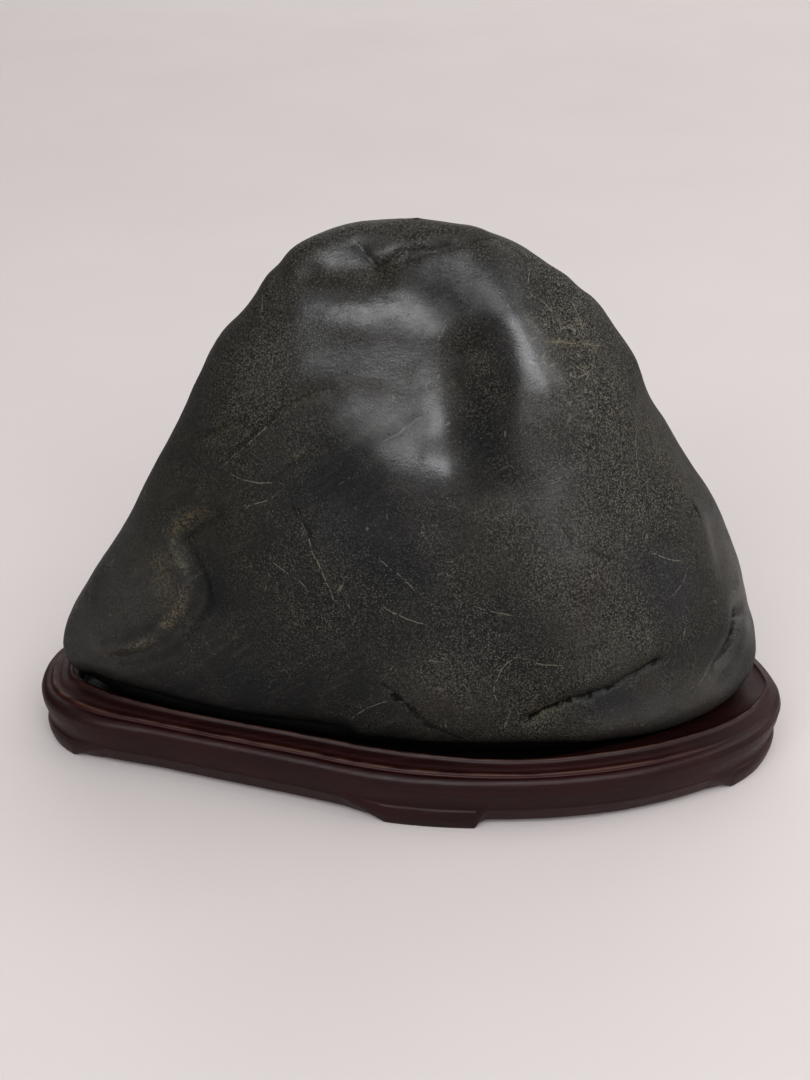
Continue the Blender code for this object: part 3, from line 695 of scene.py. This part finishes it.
# %% A recipe for a finish
class Finish:
    """A material's nodes; each method adds one node and returns its output."""

    def __init__(self, name):
        self.material = bpy.data.materials.new(name)
        self.material.use_nodes = True
        self.tree = self.material.node_tree
        self.shader = self.tree.nodes["Principled BSDF"]
        self.place = self.add("ShaderNodeTexCoord").outputs["Object"]

    def add(self, kind, inputs=(), **settings):
        """Adds a node, sets its settings, and fills its inputs with numbers, colours or other outputs."""
        node = self.tree.nodes.new(kind)
        for name, value in settings.items():
            setattr(node, name, value)
        for key, value in dict(inputs).items():
            self.put(node.inputs[key], value)
        return node

    def put(self, socket, value):
        if isinstance(value, bpy.types.NodeSocket):
            self.tree.links.new(value, socket)
        else:
            socket.default_value = value

    def grain(self, size, layers=2.0, place=None, stretch=(1, 1, 1), rough=0.5):
        """Soft noise from 0 to 1 with lumps of a size in mm, longer along an axis where stretch is over 1."""
        scale = tuple(1 / (size * MM * k) for k in stretch)
        scaled = self.add("ShaderNodeVectorMath", {0: place or self.place, 1: scale}, operation="MULTIPLY")
        inputs = {"Vector": scaled.outputs[0], "Scale": 1.0, "Detail": layers, "Roughness": rough}
        return self.add("ShaderNodeTexNoise", inputs).outputs["Fac"]

    def cells(self, size, place=None, feature="F1"):
        """Cells of a size in mm: the node gives the distance to a cell's middle or edge, and its colour."""
        return self.add("ShaderNodeTexVoronoi", {"Vector": place or self.place, "Scale": 1 / (size * MM)},
                        feature=feature)

    def stored(self, name):
        """A number stored on the mesh under this name."""
        return self.add("ShaderNodeAttribute", attribute_name=name).outputs["Fac"]

    def between(self, value, low, high, to_low=0.0, to_high=1.0):
        """A soft step: to_low below low, to_high above high, 3t^2 - 2t^3 in between."""
        inputs = {"Value": value, "From Min": low, "From Max": high, "To Min": to_low, "To Max": to_high}
        return self.add("ShaderNodeMapRange", inputs, interpolation_type="SMOOTHSTEP").outputs[0]

    def sum(self, first, second, how="ADD", clamp=False):
        """Two numbers added, or put together in another way that the Math node knows."""
        return self.add("ShaderNodeMath", {0: first, 1: second}, operation=how, use_clamp=clamp).outputs[0]

    def times(self, *values):
        result = values[0]
        for value in values[1:]:
            result = self.sum(result, value, "MULTIPLY")
        return result

    def blend(self, share, first, second):
        """Two colours mixed: first where share is 0, second where it is 1."""
        made = self.add("ShaderNodeMix", {0: share}, data_type="RGBA")
        for socket, colour in zip([s for s in made.inputs if s.type == "RGBA"], (first, second)):
            self.put(socket, colour if isinstance(colour, bpy.types.NodeSocket) else (*colour, 1.0))
        return next(s for s in made.outputs if s.type == "RGBA")

    def dress(self, piece, **sockets):
        """Connects the shader's sockets and gives the finish to a piece."""
        for name, value in sockets.items():
            self.put(self.shader.inputs[name.replace("_", " ")], value)
        piece.data.materials.clear()
        piece.data.materials.append(self.material)


# %% [markdown]
# ## The stone's finish
#
# The stone is nearly black. Where it is rubbed it has a soft bluish sheen; elsewhere it is dull and
# covered in tiny light grains and pits, like fine shot. The ground colour comes first: each stored patch
# blends its own tint in, the pale patches also carry painted light and the valley painted shade, and slanting
# smears of pale dust lie over the places that are not grainy.

# %% Dark stone
rock = Finish("waxed dark stone")
rubbed = rock.stored("worn_smooth")
grainy = rock.stored("grainy")
broad = rock.grain(46, 3)
middle = rock.grain(11, 3)
small = rock.grain(2.4, 3)

colour = rock.blend(rock.between(broad, 0.42, 0.60), (0.0165, 0.0170, 0.0166), (0.0225, 0.0218, 0.0182))
# The pale patches: partly paler stone, partly painted light on the right side, the top and the upper edges.
colour = rock.blend(rock.times(rock.stored("pale"), 0.9), colour, (0.060, 0.0550, 0.0455))
colour = rock.blend(rock.times(rock.stored("olive"), 0.7), colour, (0.0268, 0.0243, 0.0158))
colour = rock.blend(rock.times(rock.stored("slate"), 0.9), colour, (0.0088, 0.0092, 0.0118))
colour = rock.blend(rock.between(rock.grain(17, 3), 0.55, 0.70, 0.0, 0.5), colour, (0.032, 0.0255, 0.0225))
slant = rock.add("ShaderNodeMapping", {"Vector": rock.place, "Rotation": (0, math.radians(38), 0)}).outputs[0]
smears = rock.between(rock.grain(2.4, 3, place=slant, stretch=(8, 8, 1)), 0.53, 0.70, 0.0, 0.45)
smears = rock.times(smears, rock.sum(1.0, grainy, "SUBTRACT", clamp=True))
colour = rock.blend(smears, colour, (0.052, 0.0485, 0.0360))
colour = rock.blend(rock.times(rubbed, 0.6), colour, (0.0222, 0.0204, 0.0245))
dull_and_shaded = rock.stored("unpolished_and_shaded")
# Painted shade: the valley and the summit hollow made darker.
colour = rock.blend(rock.times(dull_and_shaded, 0.7), colour, (0.0110, 0.0108, 0.0095))

print("ground colour has", len(rock.tree.nodes), "nodes")

# %% [markdown]
# The skin is covered in fine grains, light on their tops and dark between them. Cells of under a millimetre
# make pebbles, and soft noise breaks them up, so that they do not look like scales. They are stronger in the
# grainy patches and nearly gone where the stone is rubbed.

# %% The pebbled skin
amount = rock.sum(rock.between(middle, 0.36, 0.64, 0.06, 0.34), rock.times(grainy, 0.66))
amount = rock.times(amount, rock.sum(1.0, rock.times(rubbed, 0.7), "SUBTRACT"))
skin = rock.grain(0.7, 3, rough=0.75)
pebbles = rock.cells(0.78)
shade = rock.add("ShaderNodeSeparateColor", {"Color": pebbles.outputs["Color"]}).outputs[2]
tops = rock.times(rock.between(pebbles.outputs["Distance"], 0.10, 0.55, 1.0, 0.0),
                  rock.between(shade, -0.1, 0.9))
tops = rock.sum(rock.times(tops, 1.1), rock.between(skin, 0.50, 0.64, 0.0, 0.45), clamp=True)
pits = rock.sum(rock.times(rock.between(pebbles.outputs["Distance"], 0.40, 0.75), 0.8),
                rock.between(skin, 0.36, 0.48, 0.5, 0.0), clamp=True)
colour = rock.blend(rock.times(pits, rock.sum(amount, 0.15), 0.95), colour, (0.0030, 0.0030, 0.0028))
colour = rock.blend(rock.times(tops, amount, 0.95), colour, (0.165, 0.155, 0.128))
colour = rock.blend(rock.times(rock.stored("slate"), 0.4), colour, (0.0070, 0.0074, 0.0098))

print("with the skin:", len(rock.tree.nodes), "nodes")

# %% [markdown]
# Single specks and pin holes lie scattered over the stone. Each sits in the middle of a cell, and the cell's
# own random colour decides whether it has one.

# %% Specks and pin holes
specks = rock.cells(0.9)
holes = rock.cells(1.5)
own = rock.add("ShaderNodeSeparateColor", {"Color": specks.outputs["Color"]}).outputs
speck = rock.times(rock.between(rock.sum(own[0], rock.times(amount, 0.12)), 0.95, 1.02),
                   rock.between(specks.outputs["Distance"], 0.14, 0.34, 1.0, 0.0))
own = rock.add("ShaderNodeSeparateColor", {"Color": holes.outputs["Color"]}).outputs
hole = rock.times(rock.between(own[1], 0.86, 0.90),
                  rock.between(holes.outputs["Distance"], 0.12, 0.30, 1.0, 0.0))
colour = rock.blend(rock.times(speck, 0.6), colour, (0.20, 0.19, 0.165))
colour = rock.blend(rock.times(hole, 0.8), colour, (0.003, 0.003, 0.003))

print("with the specks:", len(rock.tree.nodes), "nodes")

# %% [markdown]
# Old healed cracks show as fine light lines. A net of them lies on the right shoulder, faint scratches cross
# the rest, and the single hairlines stored on the mesh are drawn where their signed distance is zero. The
# net and the scratches are the edges of cells whose places are bent by noise, so that no line is straight.


# %% Fine light lines
def bent_edges(cell, jog, bend, layers):
    """Distance to the edges of cells, read at p + bend * noise(p / jog); cell, jog and bend are in mm."""
    noise = rock.add("ShaderNodeTexNoise", {"Vector": rock.place, "Scale": 1 / (jog * MM), "Detail": layers})
    bent = rock.add("ShaderNodeVectorMath", {0: noise.outputs["Color"], 1: (bend * MM,) * 3, 2: rock.place},
                    operation="MULTIPLY_ADD").outputs[0]
    return rock.cells(cell, place=bent, feature="DISTANCE_TO_EDGE").outputs["Distance"]


net = rock.times(rock.between(bent_edges(6.0, 3.2, 4, 2.0), 0.012, 0.04, 1.0, 0.0), rock.stored("network"),
                 rock.between(small, 0.47, 0.60))
hair = rock.between(rock.sum(rock.stored("vein"), 0.0, "ABSOLUTE"), 0.06, 0.30, 1.0, 0.0)
hair = rock.times(hair, rock.between(rock.stored("vein_on"), 0.55, 0.95), rock.between(small, 0.40, 0.52))
scratch = rock.times(rock.between(bent_edges(17.0, 9, 14, 3.0), 0.004, 0.016, 1.0, 0.0),
                     rock.between(rock.grain(8, 2), 0.58, 0.66), rock.between(small, 0.42, 0.55))
pale_lines = rock.sum(rock.sum(net, hair, "MAXIMUM"), rock.times(scratch, 0.7), "MAXIMUM")
colour = rock.blend(rock.times(pale_lines, 0.65), colour, (0.21, 0.195, 0.155))
print("with the lines:", len(rock.tree.nodes), "nodes")

# %% [markdown]
# Ochre earth has stayed in the creases. The cracks are darkened with painted shade, and a band of painted
# shade runs round the foot. The edge of the shade in a crack is made ragged by adding noise to the distance
# from the crack before it is compared.

# %% Earth and painted shade
earth = rock.times(rock.stored("ochre"), rock.between(rock.grain(1.1, 3, rough=0.7), 0.46, 0.58))
colour = rock.blend(rock.times(earth, 0.8), colour, (0.150, 0.125, 0.078))
# Painted shade in the cracks: near black along each crack, with a ragged edge.
ragged = rock.sum(rock.stored("crack"), rock.between(rock.grain(2.2, 3), 0.25, 0.75, -0.9, 0.9))
gape = rock.between(rock.grain(5, 2), 0.36, 0.62, 0.35, 1.6)
crack_shade = rock.between(rock.sum(rock.sum(ragged, 0.0, "ABSOLUTE"), gape, "DIVIDE"), 0.45, 1.1, 1.0, 0.0)
crack_shade = rock.times(crack_shade, rock.between(rock.stored("crack_on"), 0.1, 0.8))
colour = rock.blend(rock.times(crack_shade, 0.92), colour, (0.0045, 0.0035, 0.0030))
# Painted shade round the foot, above the seat.
colour = rock.blend(rock.times(rock.stored("foot_shade"), 0.9), colour, (0.0022, 0.0020, 0.0018))

print("with earth and dirt:", len(rock.tree.nodes), "nodes")

# %% [markdown]
# Two layers shine. Under the wax the skin is dull and bumpy; where hands have rubbed it, a clear coat lies on
# top, smoother than the skin, and gives the broad soft highlights.

# %% Fine relief and sheen
rough_skin = rock.sum(1.0, rock.times(rubbed, 0.7), "SUBTRACT")
relief = rock.sum(rock.sum(rock.times(skin, 0.9), rock.times(rock.grain(1.5, 3), 0.9)), rock.times(tops, 0.3))
relief = rock.times(relief, rough_skin)
relief = rock.sum(rock.sum(relief, rock.times(speck, 0.25)), rock.sum(hole, crack_shade, "MAXIMUM"), "SUBTRACT")
bump = rock.add("ShaderNodeBump", {"Strength": 0.8, "Distance": 0.00035, "Height": relief}).outputs[0]
peel = rock.sum(rock.times(skin, 0.6), rock.times(rock.grain(1.7, 3, stretch=(1.5, 1, 1)), 0.6))
polish = rock.add("ShaderNodeBump", {"Strength": 0.7, "Distance": 0.00028, "Height": peel}).outputs[0]
sheen = rock.sum(rock.between(middle, 0.3, 0.7, 0.52, 0.62), rock.times(rubbed, 0.12), "SUBTRACT")
sheen = rock.sum(sheen, rock.times(crack_shade, 0.35))
rock.dress(stone, Base_Color=colour, Roughness=rock.sum(sheen, rock.times(dull_and_shaded, 0.25)), Normal=bump,
           Specular_IOR_Level=0.36, Coat_Weight=rubbed, Coat_Roughness=0.27, Coat_IOR=1.7, Coat_Normal=polish)
print("stone finish has", len(rock.tree.nodes), "nodes")

# %% [markdown]
# ## The stand's finish
#
# The stand is hardwood stained a deep reddish brown and lightly lacquered. The stain is darker and redder in
# the grooves and rubbed through to a lighter brown on the crests of the moulding; the seat is painted nearly
# black as shade under the stone.
# The fibres run along the stand's length.

# %% Stained wood
wood = Finish("red-brown stained wood")
fibre = wood.grain(1.1, 4, stretch=(16, 1, 1))
figure = wood.grain(9, 3, stretch=(7, 1, 1))
crests = wood.stored("crest")
grooves = wood.stored("groove")
tint = wood.blend(wood.between(figure, 0.35, 0.65), (0.019, 0.0036, 0.0036), (0.027, 0.0050, 0.0050))
tint = wood.blend(wood.times(wood.between(fibre, 0.5, 0.72), 0.35), tint, (0.048, 0.0130, 0.0110))
tint = wood.blend(wood.times(grooves, 0.7), tint, (0.045, 0.0030, 0.0040))
worn_spots = wood.between(wood.grain(5, 3, stretch=(3, 1, 1)), 0.38, 0.6)
tint = wood.blend(wood.times(crests, worn_spots, 0.8), tint, (0.11, 0.055, 0.035))
# Painted shade: the seat under the stone made nearly black.
tint = wood.blend(wood.times(wood.stored("seat"), 0.9), tint, (0.0035, 0.0022, 0.0020))
furrows = wood.sum(wood.times(fibre, 0.6), wood.times(figure, 0.4))
ripple = wood.add("ShaderNodeBump", {"Strength": 0.5, "Distance": 0.0002, "Height": furrows}).outputs[0]
gloss = wood.between(fibre, 0.3, 0.7, 0.44, 0.58)
wood.dress(stand, Base_Color=tint, Roughness=gloss, Normal=ripple, Specular_IOR_Level=0.40, Coat_Weight=0.15,
           Coat_Roughness=0.24)
print("wood finish has", len(wood.tree.nodes), "nodes")

# %% [markdown]
# ## The studio
#
# A pale sheet is the floor and runs far back behind the stand. Four soft panels light it: a wide one
# overhead and behind, one in front, one on the right and one at the back. A faint world light fills the rest.

# %% Floor
floor_mesh = bpy.data.meshes.new("floor")
half = 4.0
corners = [(-half, -half, 0), (half, -half, 0), (half, half, 0), (-half, half, 0)]
floor_mesh.from_pydata(corners, [], [(0, 1, 2, 3)])
floor = bpy.data.objects.new("floor", floor_mesh)
bpy.context.scene.collection.objects.link(floor)
paper = Finish("pale paper")
paper_tone = paper.blend(paper.grain(160, 2), (0.60, 0.558, 0.547), (0.64, 0.596, 0.585))
paper.dress(floor, Base_Color=paper_tone, Roughness=0.9)


# %% Lights
def soft_light(name, place, aim, size, power, colour):
    """A square light that faces a point: its -Z axis is turned along aim - place."""
    lamp = bpy.data.lights.new(name, "AREA")
    lamp.shape = "RECTANGLE"
    lamp.size, lamp.size_y = size
    lamp.energy = power
    lamp.color = colour
    made = bpy.data.objects.new(name, lamp)
    made.location = place
    made.rotation_euler = (Vector(aim) - Vector(place)).to_track_quat("-Z", "Y").to_euler()
    bpy.context.scene.collection.objects.link(made)
    print(name, "at", place, "with", power, "W")


soft_light("ceiling panel", (0.0, 0.7, 2.6), (0.0, 0.7, 0.0), (6.0, 6.0), 36, (1.0, 0.99, 0.98))
soft_light("front panel", (-0.1, -1.67, 1.5), (0.0, 0.0, 0.1), (3.5, 1.35), 45, (0.97, 0.98, 1.0))
soft_light("right panel", (2.1, -0.1, 1.2), (0.0, 0.0, 0.1), (2.0, 1.8), 18, (1.0, 0.99, 0.98))
soft_light("back panel", (0.4, 2.7, 1.2), (0.0, 0.0, 0.1), (5.0, 2.0), 34, (1.0, 0.99, 0.98))

world = bpy.data.worlds.new("studio")
world.use_nodes = True
world.node_tree.nodes["Background"].inputs["Color"].default_value = (0.95, 0.97, 1.0, 1.0)
world.node_tree.nodes["Background"].inputs["Strength"].default_value = 0.08
bpy.context.scene.world = world
bpy.context.scene.view_settings.view_transform = "Standard"
bpy.context.scene.view_settings.look = "High Contrast"

# %% [markdown]
# ## The camera
#
# The camera stands a little over half a metre away and looks 30 degrees down. The frame is upright.

# %% Camera
AIM = np.array([-0.0013, -0.0173, 0.0988])
DISTANCE = 0.5592
PITCH = math.radians(30)
lens = bpy.data.cameras.new("camera")
lens.lens = 50
lens.sensor_fit = "VERTICAL"
lens.sensor_height = 36
camera = bpy.data.objects.new("camera", lens)
camera.location = AIM + DISTANCE * np.array([0, -math.cos(PITCH), math.sin(PITCH)])
camera.rotation_euler = (math.radians(90) - PITCH, 0, 0)
bpy.context.scene.collection.objects.link(camera)
bpy.context.scene.camera = camera
print("camera at", [round(v, 3) for v in camera.location])
